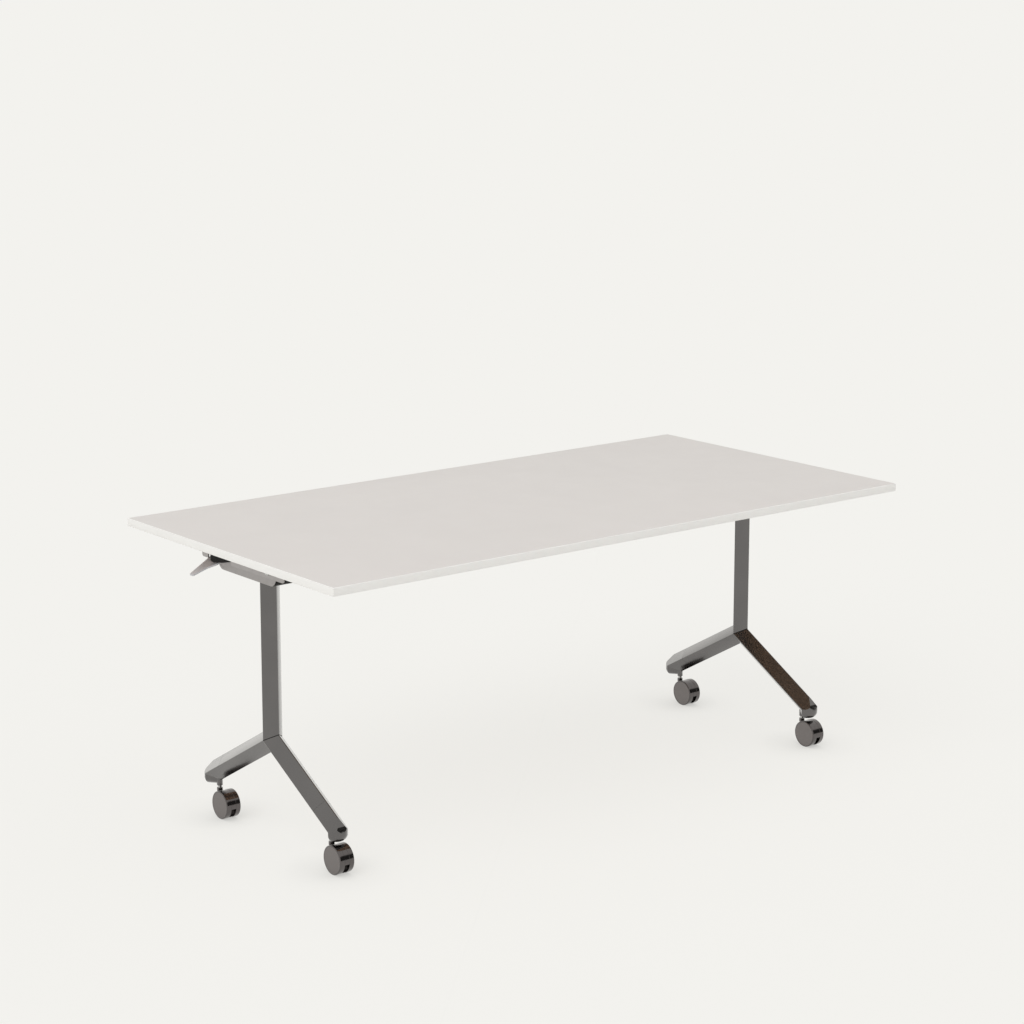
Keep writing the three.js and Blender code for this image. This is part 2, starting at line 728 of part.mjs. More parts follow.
// Castor: stem in the foot, hooded body on the stem, and two wheels on an axle
function wheelGeometry() {
  const rim = wheelDiameter / 2 / Math.cos(Math.PI / wheelSides);
  const bore = axleDiameter / 2 + seatGap;
  const profile = [
    [0, wheelWidth - wheelCap],
    [bore, wheelWidth - wheelCap],
    [bore, 0],
    [rim - wheelInnerBevel, 0],
    [rim, wheelInnerBevel],
    [rim, wheelWidth - wheelBevel],
    [rim - wheelBevel, wheelWidth],
    [0, wheelWidth],
  ].map(([radius, height]) => new THREE.Vector2(radius, height));
  return new THREE.LatheGeometry(profile, wheelSides, Math.PI / wheelSides);
}

function castorBodyGeometry() {
  const radius = wheelDiameter / 2 - castorBodyInset;
  const disc = roundAlongX(
    2 * radius, -castorBodyWidth / 2, castorBodyWidth / 2, -castorTrail, wheelDiameter / 2, wheelSides,
  );
  const neck = roundAlongZ(neckDiameter, neckFootHeight, neckHeight, 0, 0);
  const collar = roundAlongZ(collarDiameter, neckHeight - collarDepth, neckHeight, 0, 0);
  const floorCut = alongX(rectangle(
    -castorTrail - wheelDiameter, -cutOverrun, wheelDiameter, castorFloorGap,
  ), -castorBodyWidth, castorBodyWidth);
  const axleBore = roundAlongX(
    axleDiameter + 2 * seatGap, -castorBodyWidth, castorBodyWidth, -castorTrail, wheelDiameter / 2,
  );
  const stemBore = roundAlongZ(
    stemTailDiameter + 2 * seatGap, neckHeight - stemTailLength, neckHeight + cutOverrun, 0, 0,
  );
  const pocket = alongX(rectangle(
    -castorTrail - wheelDiameter, castorPocketBottom,
    -castorTrail - castorPocketSetback, castorPocketTop,
  ), -castorBodyWidth, castorBodyWidth);
  return geometryOf(cut(joined(disc, neck, collar), floorCut, pocket, axleBore, stemBore));
}

function stemGeometry() {
  const shank = roundAlongZ(stemDiameter, neckHeight + seatGap, footBottom + stemDepth, 0, 0);
  const tail = roundAlongZ(stemTailDiameter, neckHeight + seatGap - stemTailLength, footBottom, 0, 0);
  return geometryOf(joined(shank, tail));
}

function addCastor(place, x, y) {
  const castor = groupAt(desk, x, y, 0);
  addPiece(castor, `${place}_castor_stem`, stemGeometry(), steel);
  addPiece(castor, `${place}_castor_body`, castorBodyGeometry(), castorMetal);
  const wheelStart = castorBodyWidth / 2 + runningGap;
  const axleEnd = wheelStart + wheelWidth - wheelCap - runningGap;
  const axle = roundAlongX(axleDiameter, -axleEnd, axleEnd, -castorTrail, wheelDiameter / 2);
  addPiece(castor, `${place}_castor_axle`, axle, steel);
  [['left', -1], ['right', 1]].forEach(([wheelSide, direction]) => {
    const wheel = addPiece(castor, `${place}_castor_${wheelSide}_wheel`, wheelGeometry(), castorMetal);
    wheel.position.set(direction * wheelStart, -castorTrail, wheelDiameter / 2);
    wheel.rotation.z = (-direction * Math.PI) / 2;
  });
}

addTop();
addCrossbeam();
const cranks = [['left', -1, true], ['right', 1, false]].map(([side, outward, crankUp]) => {
  const crank = crankPlace(outward, crankUp);
  addFrame(side, outward);
  addLatch(side, outward, crank);
  addCastor(`${side}_front`, outward * frameOffset, -swivelOffset);
  addCastor(`${side}_rear`, outward * frameOffset, swivelOffset);
  return crank;
});
addRod(...cranks);

export default desk;
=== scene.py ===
import json
import math

import bmesh
import bpy
from mathutils import Matrix, Vector


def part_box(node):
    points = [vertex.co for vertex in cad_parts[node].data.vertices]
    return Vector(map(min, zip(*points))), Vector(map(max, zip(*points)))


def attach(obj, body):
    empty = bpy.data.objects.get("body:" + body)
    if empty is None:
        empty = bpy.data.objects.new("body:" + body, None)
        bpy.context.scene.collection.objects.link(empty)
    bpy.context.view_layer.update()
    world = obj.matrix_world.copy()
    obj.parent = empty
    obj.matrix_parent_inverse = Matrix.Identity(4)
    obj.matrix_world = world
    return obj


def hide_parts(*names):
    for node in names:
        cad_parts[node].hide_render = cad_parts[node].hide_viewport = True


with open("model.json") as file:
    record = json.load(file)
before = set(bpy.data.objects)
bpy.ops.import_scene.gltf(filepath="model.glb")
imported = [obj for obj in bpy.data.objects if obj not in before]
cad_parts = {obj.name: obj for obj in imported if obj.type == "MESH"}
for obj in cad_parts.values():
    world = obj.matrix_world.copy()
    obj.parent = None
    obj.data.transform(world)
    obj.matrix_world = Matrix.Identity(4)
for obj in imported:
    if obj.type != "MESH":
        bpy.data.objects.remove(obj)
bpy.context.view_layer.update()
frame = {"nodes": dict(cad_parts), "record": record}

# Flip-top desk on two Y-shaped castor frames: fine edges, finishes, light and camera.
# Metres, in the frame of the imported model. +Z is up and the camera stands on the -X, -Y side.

record = frame["record"]
body_of = {node: body for body, nodes in record["behaviour"]["bodies"].items() for node in nodes}
slot_of = {row["node"]: row["material_slot"] for row in record["subparts"]}

MM = 0.001

# Sides of the desk and of a castor, and the way along X that each one looks
SIDES = {"left": -1, "right": 1}

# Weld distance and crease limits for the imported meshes, the steps across a rounded edge, and the
# profile value that makes it a round
WELD = 0.02 * MM
FLAT = math.radians(0.6)
CREASE = math.radians(30)
BEVEL_STEPS = 3
ROUND_PROFILE = 0.5

# Table top: the band round the board, and the sheet below it
BAND_WALL = 2.0 * MM
BOARD_EDGE_RADIUS = 0.4 * MM
BOARD_EDGE_STEPS = 4
BAND_EDGE_RADIUS = 1.4 * MM
BAND_EDGE_STEPS = 5
GLUE_LINE = 0.06 * MM
BACKING_DEPTH = 0.8 * MM

# Feet: the leg's slope, how nearly a face must look up it, and the seam's share of the edge width
LEG_SLOPE = math.radians(29.5)
END_FACING = 0.98
SEAM_SHARE = 0.06

# Heads: how far back the black painted shade on their rounded front ends reaches, and how far forward a
# face of theirs must look
FRONT_SHADE_DEPTH = 24.0 * MM
FRONT_SHADE_FACING = 0.55

# Posts: the width of the painted shadow line along the joint, and the limits of Z in the normal of a mitred
# face
JOINT_SHADE_WIDTH = 1.4 * MM
MITRE_SLANTS = (-0.98, -0.2)

# Castor wheels: a glossy rim with a fine crown, a satin disc inside a thin lip, and a blind bore
# that stays clear of the axle round it and at its end
WHEEL_STEPS = 128
AXLE_GAP = 0.1 * MM
AXLE_END_GAP = 0.3 * MM
RIM_RADIUS = 1.8 * MM
RIM_ARC_STEPS = 6
RIM_INNER_RADIUS = 0.3 * MM
RIM_REACH = 0.3 * MM
DISC_RECESS = 0.4 * MM
DISC_LIP = 1.6 * MM
DISC_STEP = 0.5 * MM
TREAD_CROWN = 0.1 * MM

# Pan-head screws that hold the brackets to the board. Their places are shares of the bracket, and
# the crown is (share of the radius, share of the height). They seat on the underside of the
# bracket's plate, which lies the buffer gap above the rest buffer
SCREW_ROW_SHARES = (0.14, 0.36, 0.60, 0.72)
SCREW_COLUMN_SHARES = (-0.28, 0.28)
SCREW_CROWN_SHARES = [(1.0, 0.0), (1.0, 0.35), (0.92, 0.68), (0.72, 0.90), (0.40, 1.0)]
BUFFER_GAP = 0.3 * MM
SCREW_RADIUS = 4.0 * MM
SCREW_HEIGHT = 2.2 * MM
SCREW_SLOT = 1.1 * MM
SCREW_SLOT_DEPTH = 1.2 * MM
SCREW_STEPS = 40
CUT_OVERRUN = 2

# Edge widths in millimetres, as each piece's process leaves them
EDGE_WIDTHS = {
    "crossbeam": 1.2, "latch_rod": 0.4, "rod_guide": 0.6, "post": 0.2, "head": 0.9,
    "leg": 0.12, "foot": 2.2, "hinge_pin": 0.5, "hinge_washer": 0.2, "strike_bar": 0.6,
    "rest_buffer": 0.8, "tilt_bracket": 1.2, "latch_housing": 0.8, "release_lever": 0.7,
    "lever_pin": 0.4, "castor_stem": 0.4, "castor_body": 0.5, "castor_axle": 0.4,
}

# Pieces whose finish differs from that of their slot
OWN_FINISHES = {"release_lever": "lever_metal", "tilt_bracket": "bracket_metal"}

# Camera, fitted to the photograph: where it stands, its heading and tilt, its lens and its shift
CAMERA_PLACE = (-3.8627, -4.8024, 2.0759)
CAMERA_HEADING = math.radians(38.523)
CAMERA_TILT = math.radians(10.599)
CAMERA_LENS = 86.536
SENSOR = 36.0
CAMERA_SHIFT = -0.080

# Plain light from all round, and the colour of the backdrop
WORLD_LEVEL = 0.62
BACKGROUND = (0.896, 0.888, 0.855, 1)

# Cards that gloss alone sees: direction, cosine at the edge and where it is full, change of level
CARDS = [
    ((0.10, 1.0, 0.03), 0.93, 0.99, 0.45),
    ((0.594, -0.795, 0.12), 0.90, 0.951, -0.92),
]

# Soft lamps: direction towards the lamp, strength and width in degrees
LAMPS = {
    "key": ((-0.75, -0.22, 0.80), 1.45, 50),
    "fill": ((0.45, -0.65, 0.80), 0.35, 70),
}

# Floor: its own colour, the share of it that shadows don't reach, and the shade near a contact
FLOOR_ALBEDO = (0.87, 0.862, 0.832)
FLOOR_ROUGHNESS = 0.9
FLOOR_GLOW = 0.86
FLOOR_SIZE = 400.0
CONTACT_REACH = 0.14
CONTACT_LEVEL = 0.62

# Noise: its detail in colour and grain, its detail in gloss, the roughness of that detail, and the
# middle of its range, which is spread over the whole change
NOISE_DETAIL = 3.0
GLOSS_DETAIL = 5.0
NOISE_ROUGHNESS = 0.55
NOISE_LOW = 0.3
NOISE_HIGH = 0.7

# Drift and fine grain that the satin metals share
SATIN_GRAIN = {
    "color_change": 0.03, "color_scale": 50.0, "roughness_change": 0.05, "grain_scale": 1100.0,
    "grain_depth": 0.01 * MM, "grain_strength": 0.25,
}


def link(nodes, output, target):
    """Joins an output socket to an input socket of one node tree."""
    nodes.id_data.links.new(output, target)


def new_material(name, color, roughness, metallic=0.0):
    """A node material with one principled shader. Returns the material, its nodes and the shader."""
    material = bpy.data.materials.new(name)
    material.use_nodes = True
    nodes = material.node_tree.nodes
    shader = nodes["Principled BSDF"]
    shader.inputs["Base Color"].default_value = (*color, 1)
    shader.inputs["Roughness"].default_value = roughness
    shader.inputs["Metallic"].default_value = metallic
    return material, nodes, shader


def noise(nodes, scale, detail=NOISE_DETAIL, stretch=(1, 1, 1)):
    """Noise in metres, stretched along an axis by a small factor there. Returns its value socket."""
    coordinates = nodes.new("ShaderNodeTexCoord")
    mapping = nodes.new("ShaderNodeMapping")
    mapping.inputs["Scale"].default_value = stretch
    texture = nodes.new("ShaderNodeTexNoise")
    texture.inputs["Scale"].default_value = scale
    texture.inputs["Detail"].default_value = detail
    texture.inputs["Roughness"].default_value = NOISE_ROUGHNESS
    link(nodes, coordinates.outputs["Object"], mapping.inputs["Vector"])
    link(nodes, mapping.outputs["Vector"], texture.inputs["Vector"])
    return texture.outputs["Fac"]


def spread(nodes, value, low, high, from_low=NOISE_LOW, from_high=NOISE_HIGH):
    """Maps a value to the range from low to high."""
    ranged = nodes.new("ShaderNodeMapRange")
    ranged.inputs["From Min"].default_value = from_low
    ranged.inputs["From Max"].default_value = from_high
    ranged.inputs["To Min"].default_value = low
    ranged.inputs["To Max"].default_value = high
    link(nodes, value, ranged.inputs["Value"])
    return ranged.outputs["Result"]


def vary_color(nodes, shader, value, color, change):
    """Lets the base colour vary about its written value by a share of it, with a noise value."""
    mix = nodes.new("ShaderNodeMix")
    mix.data_type = "RGBA"
    dark, light = (tuple(part * (1 + way * change) for part in color) for way in (-1, 1))
    mix.inputs["A"].default_value = (*dark, 1)
    mix.inputs["B"].default_value = (*light, 1)
    link(nodes, spread(nodes, value, 0, 1), mix.inputs["Factor"])
    link(nodes, mix.outputs["Result"], shader.inputs["Base Color"])


def add_bump(nodes, shader, value, depth, strength):
    """Raises the surface by a value, to the depth given."""
    bump = nodes.new("ShaderNodeBump")
    bump.inputs["Strength"].default_value = strength
    bump.inputs["Distance"].default_value = depth
    link(nodes, value, bump.inputs["Height"])
    link(nodes, bump.outputs["Normal"], shader.inputs["Normal"])


def finish(name, color, roughness, metallic=0.0, color_change=0.02, color_scale=40.0,
           roughness_change=0.03, roughness_scale=60.0, grain_scale=900.0, grain_depth=0.02 * MM,
           grain_strength=0.3, stretch=(1, 1, 1), coat=0.0, coat_roughness=0.05,
           gloss_level=0.5):
    """A finish with a slight drift of colour and gloss and a fine grain."""
    material, nodes, shader = new_material(name, color, roughness, metallic)
    vary_color(nodes, shader, noise(nodes, color_scale, stretch=stretch), color, color_change)
    gloss = noise(nodes, roughness_scale, detail=GLOSS_DETAIL, stretch=stretch)
    link(nodes, spread(nodes, gloss, roughness - roughness_change, roughness + roughness_change),
         shader.inputs["Roughness"])
    add_bump(nodes, shader, noise(nodes, grain_scale, stretch=stretch), grain_depth, grain_strength)
    shader.inputs["Coat Weight"].default_value = coat
    shader.inputs["Coat Roughness"].default_value = coat_roughness
    shader.inputs["Specular IOR Level"].default_value = gloss_level
    return material


def make_finishes():
    """The finishes, by name. Most names are those of the record's slots."""
    return {
        "laminate": finish(
            "satin_laminate", (0.645, 0.611, 0.585), 0.46, color_change=0.010, color_scale=6.0,
            roughness_change=0.03, roughness_scale=14.0, grain_scale=1400.0, grain_depth=0.03 * MM),
        "backing": finish(
            "backing_sheet", (0.50, 0.35, 0.25), 0.55, color_change=0.08, color_scale=30.0,
            stretch=(0.08, 1, 1), grain_scale=700.0, grain_depth=0.03 * MM),
        "edging": finish(
            "edge_band_satin", (0.800, 0.790, 0.765), 0.42, color_change=0.008, color_scale=20.0,
            grain_scale=1600.0, grain_depth=0.01 * MM),
        "dark_metal": finish(
            "black_chrome", (0.132, 0.126, 0.125), 0.22, metallic=1.0, color_change=0.05,
            color_scale=9.0, roughness_change=0.03, roughness_scale=25.0, grain_scale=260.0,
            grain_depth=0.01 * MM, grain_strength=0.08, coat=0.9, coat_roughness=0.12),
        "castor_metal": finish(
            "castor_rim_chrome", (0.096, 0.085, 0.084), 0.14, metallic=1.0, color_change=0.04,
            grain_scale=420.0, grain_depth=0.01 * MM, grain_strength=0.06, coat=0.9, coat_roughness=0.05),
        "castor_disc": finish(
            "castor_disc_satin", (0.225, 0.208, 0.204), 0.40, metallic=1.0, color_change=0.04,
            color_scale=60.0, roughness_change=0.05, grain_scale=1500.0, grain_depth=0.01 * MM,
            grain_strength=0.25),
        "light_metal": finish(
            "satin_silver", (0.385, 0.367, 0.362), 0.36, metallic=1.0, **SATIN_GRAIN),
        "bracket_metal": finish(
            "bracket_satin", (0.425, 0.406, 0.402), 0.38, metallic=1.0, **SATIN_GRAIN),
        "lever_metal": finish(
            "lever_satin", (0.550, 0.560, 0.585), 0.45, **SATIN_GRAIN),
        "steel": finish(
            "bright_zinc", (0.52, 0.52, 0.51), 0.28, metallic=1.0, color_change=0.10,
            color_scale=260.0, roughness_change=0.08, roughness_scale=300.0),
        # Black moulding, also used for the painted shade on the head ends and along the post joints
        "black_plastic": finish(
            "black_moulding_and_painted_shade", (0.006, 0.005, 0.005), 0.50, color_change=0.10, color_scale=120.0,
            grain_scale=2200.0, grain_depth=0.05 * MM, grain_strength=0.5, gloss_level=0.12),
        "rubber": finish(
            "black_rubber", (0.020, 0.020, 0.020), 0.75, color_change=0.15, color_scale=200.0,
            grain_scale=1500.0, grain_depth=0.06 * MM, grain_strength=0.5),
        "nylon": finish(
            "natural_nylon", (0.62, 0.62, 0.58), 0.42, color_change=0.03, color_scale=90.0),
    }


finishes = make_finishes()


def mesh_piece(name, mesh, *materials):
    """A new object at the origin, whose place is in its mesh."""
    piece = bpy.data.objects.new(name, mesh)
    bpy.context.scene.collection.objects.link(piece)
    for material in materials:
        mesh.materials.append(finishes[material])
    return piece


def mesh_from(form, name):
    """A new mesh with the form's faces. The form is freed."""
    mesh = bpy.data.meshes.new(name)
    form.to_mesh(mesh)
    form.free()
    return mesh


def smooth(mesh):
    """Smooth shading with the creases kept sharp."""
    mesh.shade_smooth()
    mesh.set_sharp_from_angle(angle=CREASE)


def add_bevel(piece, width):
    """Rounds the piece's creases to the given width."""
    bevel = piece.modifiers.new("fine_edges", "BEVEL")
    bevel.width = width
    bevel.segments = BEVEL_STEPS
    bevel.limit_method = "ANGLE"
    bevel.angle_limit = CREASE
    bevel.miter_outer = "MITER_ARC"
    bevel.use_clamp_overlap = True
    bevel.harden_normals = True


def stand_for(piece, node):
    """Hides a node, and lets the piece take its place on the node's body."""
    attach(piece, body_of[node])
    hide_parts(node)


def copied_mesh(node):
    """The node's shape, with its triangles welded and its flat faces whole again."""
    mesh = frame["nodes"][node].data.copy()
    mesh.materials.clear()
    form = bmesh.new()
    form.from_mesh(mesh)
    bmesh.ops.remove_doubles(form, verts=form.verts, dist=WELD)
    bmesh.ops.dissolve_limit(form, angle_limit=FLAT, verts=form.verts, edges=form.edges)
    bmesh.ops.recalc_face_normals(form, faces=form.faces)
    for face in form.faces:
        face.material_index = 0
    form.to_mesh(mesh)
    form.free()
    if mesh.has_custom_normals:
        mesh.normals_split_custom_set([(0, 0, 0)] * len(mesh.loops))
    return mesh


def fine_copy(node, width, material=None):
    """The node's shape with rounded edges of the given width."""
    material = material or slot_of[node]
    mesh = copied_mesh(node)
    mesh.name = f"{node}_fine"
    piece = mesh_piece(f"{node}_fine", mesh, material)
    smooth(mesh)
    add_bevel(piece, width)
    stand_for(piece, node)
    return piece


def add_foot(node, width):
    """A foot casting: rounded edges, but a crisp seam where its flat end meets the leg."""
    piece = fine_copy(node, width)
    form = bmesh.new()
    form.from_mesh(piece.data)
    weights = form.edges.layers.float.new("bevel_weight_edge")
    uphill = Vector((0, -1 if "_rear_" in node else 1, math.tan(LEG_SLOPE))).normalized()
    for edge in form.edges:
        if len(edge.link_faces) != 2 or edge.calc_face_angle() < CREASE:
            continue
        ends = any(face.normal.dot(uphill) > END_FACING for face in edge.link_faces)
        edge[weights] = SEAM_SHARE if ends else 1
    form.to_mesh(piece.data)
    form.free()
    piece.modifiers["fine_edges"].limit_method = "WEIGHT"


def add_head(node, width):
    """A head beam whose rounded front end is painted black as shade."""
    piece = fine_copy(node, width)
    piece.data.materials.append(finishes["black_plastic"])
    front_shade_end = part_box(node)[0].y + FRONT_SHADE_DEPTH
    # Painted shade: the faces of the front end that look forward are painted black.
    for face in piece.data.polygons:
        if face.center.y < front_shade_end and face.normal.y < -FRONT_SHADE_FACING:
            face.material_index = 1


def add_post(node, width):
    """A post with a painted shadow line along its mitred lower end, where the joint's gap falls in shade.
    """
    piece = fine_copy(node, width)
    piece.data.materials.append(finishes["black_plastic"])
    form = bmesh.new()
    form.from_mesh(piece.data)
    least, most = MITRE_SLANTS
    planes = [
        (face.calc_center_median() - face.normal * JOINT_SHADE_WIDTH, face.normal.copy())
        for face in form.faces if least < face.normal.z < most
    ]
    for place, normal in planes:
        bmesh.ops.bisect_plane(
            form, geom=form.verts[:] + form.edges[:] + form.faces[:], plane_co=place, plane_no=normal)
    # Painted shadow: the thin strip of faces beside each mitred face is painted black.
    for face in form.faces:
        spot = face.calc_center_median()
        if any((spot - place).dot(normal) > 0 for place, normal in planes):
            face.material_index = 1
    form.to_mesh(piece.data)
    form.free()


def bevelled_box(name, low, high, radius, steps, material):
    """A box whose edges are rounded."""
    form = bmesh.new()
    bmesh.ops.create_cube(form, size=1)
    size = high - low
    centre = (high + low) / 2
    bmesh.ops.transform(form, matrix=Matrix.LocRotScale(centre, None, size), verts=form.verts)
    bmesh.ops.bevel(
        form, geom=form.edges, offset=radius, segments=steps, profile=ROUND_PROFILE, affect="EDGES")
    mesh = mesh_from(form, name)
    piece = mesh_piece(name, mesh, material)
    smooth(mesh)
    return piece


def add_board():
    """The board, with its laminate on top and a brown backing sheet below."""
    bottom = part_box("table_top")[0].z
    band_low, band_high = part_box("edge_band")
    inset = Vector((BAND_WALL + GLUE_LINE, BAND_WALL + GLUE_LINE, 0))
    board = bevelled_box(
        "board", band_low + inset, band_high - inset, BOARD_EDGE_RADIUS, BOARD_EDGE_STEPS, "laminate")
    board.data.materials.append(finishes["backing"])
    for face in board.data.polygons:
        if face.center.z < bottom + BACKING_DEPTH:
            face.material_index = 1
    stand_for(board, "table_top")


def add_edge_band():
    """A ring of edge banding with rounded outer edges."""
    low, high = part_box("edge_band")
    form = bmesh.new()
    rings = []
    for inset in (0, BAND_WALL):
        x0, y0, x1, y1 = low.x + inset, low.y + inset, high.x - inset, high.y - inset
        corners = [(x0, y0), (x1, y0), (x1, y1), (x0, y1)]
        rings.append([[form.verts.new((x, y, z)) for x, y in corners] for z in (low.z, high.z)])
    (outer_low, outer_high), (inner_low, inner_high) = rings
    for i in range(4):
        j = (i + 1) % 4
        form.faces.new((outer_low[i], outer_low[j], outer_high[j], outer_high[i]))
        form.faces.new((inner_low[j], inner_low[i], inner_high[i], inner_high[j]))
        form.faces.new((outer_high[i], outer_high[j], inner_high[j], inner_high[i]))
        form.faces.new((outer_low[j], outer_low[i], inner_low[i], inner_low[j]))
    form.normal_update()
    outer = set(outer_low + outer_high)
    edges = [edge for edge in form.edges if set(edge.verts) <= outer]
    bmesh.ops.bevel(
        form, geom=edges, offset=BAND_EDGE_RADIUS, segments=BAND_EDGE_STEPS, profile=ROUND_PROFILE,
        affect="EDGES")
    mesh = mesh_from(form, "band")
    piece = mesh_piece("band", mesh, "edging")
    smooth(mesh)
    stand_for(piece, "edge_band")


def wheel_profile(radius, width, bore, cap):
    """The wheel's section as (radius, distance from its inner face), from the bore to the hub."""
    points = [
        (bore, width - cap), (bore, -RIM_REACH), (radius - TREAD_CROWN - RIM_INNER_RADIUS, -RIM_REACH),
        (radius - TREAD_CROWN, RIM_INNER_RADIUS - RIM_REACH), (radius, width / 2),
    ]
    for step in range(RIM_ARC_STEPS + 1):
        angle = step / RIM_ARC_STEPS * math.pi / 2
        points.append((
            radius - RIM_RADIUS + (RIM_RADIUS - TREAD_CROWN) * math.cos(angle),
            width - RIM_RADIUS + RIM_RADIUS * math.sin(angle),
        ))
    lip = radius - RIM_RADIUS - DISC_LIP
    points += [(lip, width), (lip - DISC_STEP, width - DISC_RECESS), (0, width - DISC_RECESS)]
    return points


def add_wheel(node, outward):
    """A wheel turned on a lathe: glossy rim, and a satin disc inside a thin lip."""
    low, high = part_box(node)
    radius = (high.z - low.z) / 2
    axle_low, axle_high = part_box(node.rsplit("_", 2)[0] + "_axle")
    bore = (axle_high.z - axle_low.z) / 2 + AXLE_GAP
    cap = (high.x - axle_high.x if outward > 0 else axle_low.x - low.x) - AXLE_END_GAP
    profile = wheel_profile(radius, high.x - low.x, bore, cap)
    inner = low.x if outward > 0 else high.x
    centre = (low + high) / 2
    form = bmesh.new()
    rings = []
    for r, depth in profile:
        x = inner + outward * depth
        if r == 0:
            rings.append([form.verts.new((x, centre.y, centre.z))])
            continue
        angles = [2 * math.pi * i / WHEEL_STEPS for i in range(WHEEL_STEPS)]
        rings.append([
            form.verts.new((x, centre.y + r * math.cos(a), centre.z + r * math.sin(a))) for a in angles
        ])
    hub = form.verts.new((inner + outward * profile[0][1], centre.y, centre.z))
    rings.insert(0, [hub])
    for ring, following in zip(rings, rings[1:]):
        for i in range(WHEEL_STEPS):
            j = (i + 1) % WHEEL_STEPS
            if len(ring) == 1:
                form.faces.new((ring[0], following[i], following[j]))
            elif len(following) == 1:
                form.faces.new((ring[i], following[0], ring[j]))
            else:
                form.faces.new((ring[i], following[i], following[j], ring[j]))
    disc_radius = radius - RIM_RADIUS - DISC_LIP + WELD
    for face in form.faces:
        spot = face.calc_center_median()
        beyond = (spot.x - centre.x) * outward > 0
        away = math.hypot(spot.y - centre.y, spot.z - centre.z)
        face.material_index = 1 if beyond and away < disc_radius else 0
    bmesh.ops.recalc_face_normals(form, faces=form.faces)
    mesh = mesh_from(form, f"{node}_turned")
    piece = mesh_piece(f"{node}_turned", mesh, "castor_metal", "castor_disc")
    smooth(mesh)
    stand_for(piece, node)


def add_screw(name, centre, body):
    """A slotted pan-head screw, with its head down, seated on the face above it."""
    form = bmesh.new()
    rings = []
    for radius_share, height_share in SCREW_CROWN_SHARES:
        z = centre.z - SCREW_HEIGHT * height_share
        angles = [2 * math.pi * i / SCREW_STEPS for i in range(SCREW_STEPS)]
        r = SCREW_RADIUS * radius_share
        rings.append([
            form.verts.new((centre.x + r * math.cos(a), centre.y + r * math.sin(a), z)) for a in angles
        ])
    for ring, following in zip(rings, rings[1:]):
        for i in range(SCREW_STEPS):
            j = (i + 1) % SCREW_STEPS
            form.faces.new((ring[i], ring[j], following[j], following[i]))
    form.faces.new(list(reversed(rings[0])))
    form.faces.new(rings[-1])
    bmesh.ops.recalc_face_normals(form, faces=form.faces)
    piece = mesh_piece(name, mesh_from(form, name), "steel")
    reach = SCREW_RADIUS * CUT_OVERRUN
    slot_low = centre + Vector((-reach, -SCREW_SLOT / 2, -SCREW_HEIGHT * CUT_OVERRUN))
    slot_high = centre + Vector((reach, SCREW_SLOT / 2, SCREW_SLOT_DEPTH - SCREW_HEIGHT))
    cut_box(piece, slot_low, slot_high)
    smooth(piece.data)
    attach(piece, body)


def cut_box(piece, low, high):
    """Cuts a box out of a piece and keeps the result as its mesh."""
    form = bmesh.new()
    bmesh.ops.create_cube(form, size=1)
    place = Matrix.LocRotScale((low + high) / 2, None, high - low)
    bmesh.ops.transform(form, matrix=place, verts=form.verts)
    cutter = bpy.data.objects.new("cutter", mesh_from(form, "cutter"))
    bpy.context.scene.collection.objects.link(cutter)
    boolean = piece.modifiers.new("cut", "BOOLEAN")
    boolean.operation = "DIFFERENCE"
    boolean.object = cutter
    boolean.solver = "EXACT"
    bpy.context.view_layer.update()
    evaluated = piece.evaluated_get(bpy.context.evaluated_depsgraph_get())
    result = bpy.data.meshes.new_from_object(evaluated)
    piece.modifiers.clear()
    old = piece.data
    piece.data = result
    bpy.data.meshes.remove(old)
    bpy.data.objects.remove(cutter)


def add_screws():
    """Four rows of two screws up through each bracket's plate, on both sides of its centre line."""
    for side in SIDES:
        low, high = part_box(f"{side}_tilt_bracket")
        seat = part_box(f"{side}_rest_buffer")[1].z + BUFFER_GAP
        centre_x = (low.x + high.x) / 2
        for row, along in enumerate(SCREW_ROW_SHARES):
            for column, across in enumerate(SCREW_COLUMN_SHARES):
                place = Vector((
                    centre_x + across * (high.x - low.x), low.y + along * (high.y - low.y), seat,
                ))
                add_screw(f"{side}_bracket_screw_{row}_{column}", place, "top")


def add_fine_copies():
    """Every node but the top and the wheels, with its own edge width."""
    makers = {"foot": add_foot, "head": add_head, "post": add_post}
    for node in sorted(slot_of):
        kind = next((name for name in EDGE_WIDTHS if node.endswith(name)), None)
        if kind in makers:
            makers[kind](node, EDGE_WIDTHS[kind] * MM)
        elif kind:
            fine_copy(node, EDGE_WIDTHS[kind] * MM, OWN_FINISHES.get(kind))


def add_wheels():
    """Every castor's two wheels. A wheel's side is in its name."""
    for node in sorted(slot_of):
        if node.endswith("_wheel"):
            add_wheel(node, SIDES[node.split("_")[-2]])


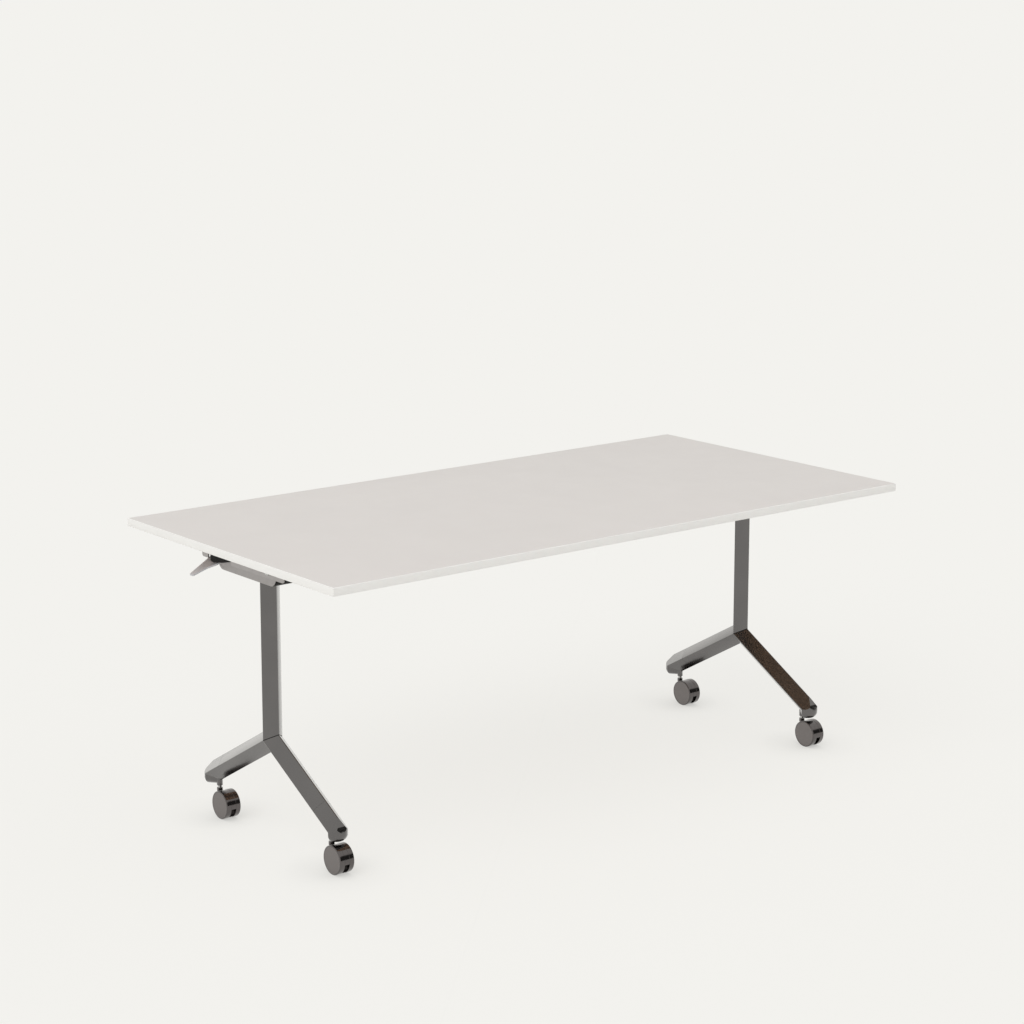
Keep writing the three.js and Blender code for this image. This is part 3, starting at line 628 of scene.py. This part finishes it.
def add_floor():
    """A wide plain floor. Seen directly or in gloss, part of its colour glows, so shadows are light."""
    mesh = bpy.data.meshes.new("floor")
    half = FLOOR_SIZE / 2
    corners = [(-half, -half, 0), (half, -half, 0), (half, half, 0), (-half, half, 0)]
    mesh.from_pydata(corners, [], [(0, 1, 2, 3)])
    floor = bpy.data.objects.new("floor", mesh)
    bpy.context.scene.collection.objects.link(floor)
    material, nodes, shader = new_material("studio_floor", FLOOR_ALBEDO, FLOOR_ROUGHNESS)
    shader.inputs["Specular IOR Level"].default_value = 0.0
    glow = nodes.new("ShaderNodeEmission")
    glow.inputs["Color"].default_value = BACKGROUND
    contact = nodes.new("ShaderNodeAmbientOcclusion")
    contact.inputs["Distance"].default_value = CONTACT_REACH
    link(nodes, spread(nodes, contact.outputs["AO"], CONTACT_LEVEL, 1, 0, 1), glow.inputs["Strength"])
    seen = seen_directly(nodes)
    share = nodes.new("ShaderNodeMath")
    share.operation = "MULTIPLY"
    share.inputs[1].default_value = FLOOR_GLOW
    link(nodes, seen, share.inputs[0])
    mix = nodes.new("ShaderNodeMixShader")
    link(nodes, share.outputs[0], mix.inputs[0])
    link(nodes, shader.outputs[0], mix.inputs[1])
    link(nodes, glow.outputs[0], mix.inputs[2])
    link(nodes, mix.outputs[0], nodes["Material Output"].inputs["Surface"])
    mesh.materials.append(material)


def seen_directly(nodes):
    """One where a ray comes from the camera, or by gloss or glass, and otherwise zero."""
    path = nodes.new("ShaderNodeLightPath")
    total = path.outputs["Is Camera Ray"]
    for kind in ("Is Glossy Ray", "Is Transmission Ray"):
        larger = nodes.new("ShaderNodeMath")
        larger.operation = "MAXIMUM"
        link(nodes, total, larger.inputs[0])
        link(nodes, path.outputs[kind], larger.inputs[1])
        total = larger.outputs[0]
    return total


def add_world():
    """Plain light from all round. Seen directly it has the backdrop's colour. Gloss also sees the cards."""
    world = bpy.data.worlds.new("studio")
    bpy.context.scene.world = world
    world.use_nodes = True
    nodes = world.node_tree.nodes
    output = nodes["World Output"]
    plain = nodes["Background"]
    plain.inputs["Color"].default_value = (1, 1, 1, 1)
    plain.inputs["Strength"].default_value = WORLD_LEVEL
    shown = nodes.new("ShaderNodeBackground")
    shown.inputs["Color"].default_value = BACKGROUND
    gloss = nodes.new("ShaderNodeBackground")
    gloss.inputs["Color"].default_value = BACKGROUND
    link(nodes, card_strength(nodes), gloss.inputs["Strength"])
    path = nodes.new("ShaderNodeLightPath")
    first = nodes.new("ShaderNodeMixShader")
    link(nodes, seen_directly(nodes), first.inputs[0])
    link(nodes, plain.outputs[0], first.inputs[1])
    link(nodes, shown.outputs[0], first.inputs[2])
    second = nodes.new("ShaderNodeMixShader")
    link(nodes, path.outputs["Is Glossy Ray"], second.inputs[0])
    link(nodes, first.outputs[0], second.inputs[1])
    link(nodes, gloss.outputs[0], second.inputs[2])
    link(nodes, second.outputs[0], output.inputs["Surface"])


def card_strength(nodes):
    """One, with a brighter card low behind the desk and a darker one before it."""
    total = None
    for direction, edge, full, change in CARDS:
        coordinates = nodes.new("ShaderNodeTexCoord")
        dot = nodes.new("ShaderNodeVectorMath")
        dot.operation = "DOT_PRODUCT"
        dot.inputs[1].default_value = Vector(direction).normalized()
        link(nodes, coordinates.outputs["Generated"], dot.inputs[0])
        amount = spread(nodes, dot.outputs["Value"], 0, change, edge, full)
        adding = nodes.new("ShaderNodeMath")
        adding.operation = "ADD"
        adding.inputs[0].default_value = 1.0
        if total:
            link(nodes, total, adding.inputs[0])
        link(nodes, amount, adding.inputs[1])
        total = adding.outputs[0]
    return total


def add_sun(name, toward, strength, spread_degrees):
    """A very soft lamp, far off in the direction given."""
    lamp = bpy.data.lights.new(name, "SUN")
    lamp.energy = strength
    lamp.angle = math.radians(spread_degrees)
    sun = bpy.data.objects.new(name, lamp)
    sun.rotation_mode = "QUATERNION"
    sun.rotation_quaternion = Vector(toward).to_track_quat("Z", "Y")
    sun.visible_glossy = False
    bpy.context.scene.collection.objects.link(sun)


def add_camera():
    """The camera at the photograph's place and angle."""
    camera_data = bpy.data.cameras.new("camera")
    camera_data.sensor_width = SENSOR
    camera_data.lens = CAMERA_LENS
    camera_data.shift_y = CAMERA_SHIFT
    camera_data.clip_end = FLOOR_SIZE
    camera = bpy.data.objects.new("camera", camera_data)
    camera.location = CAMERA_PLACE
    camera.rotation_euler = (math.pi / 2 - CAMERA_TILT, 0, -CAMERA_HEADING)
    bpy.context.scene.collection.objects.link(camera)
    bpy.context.scene.camera = camera


add_camera()
add_board()
add_edge_band()
add_fine_copies()
add_wheels()
add_screws()
add_floor()
add_world()
for lamp_name, values in LAMPS.items():
    add_sun(lamp_name, *values)
bpy.context.scene.view_settings.view_transform = "Standard"
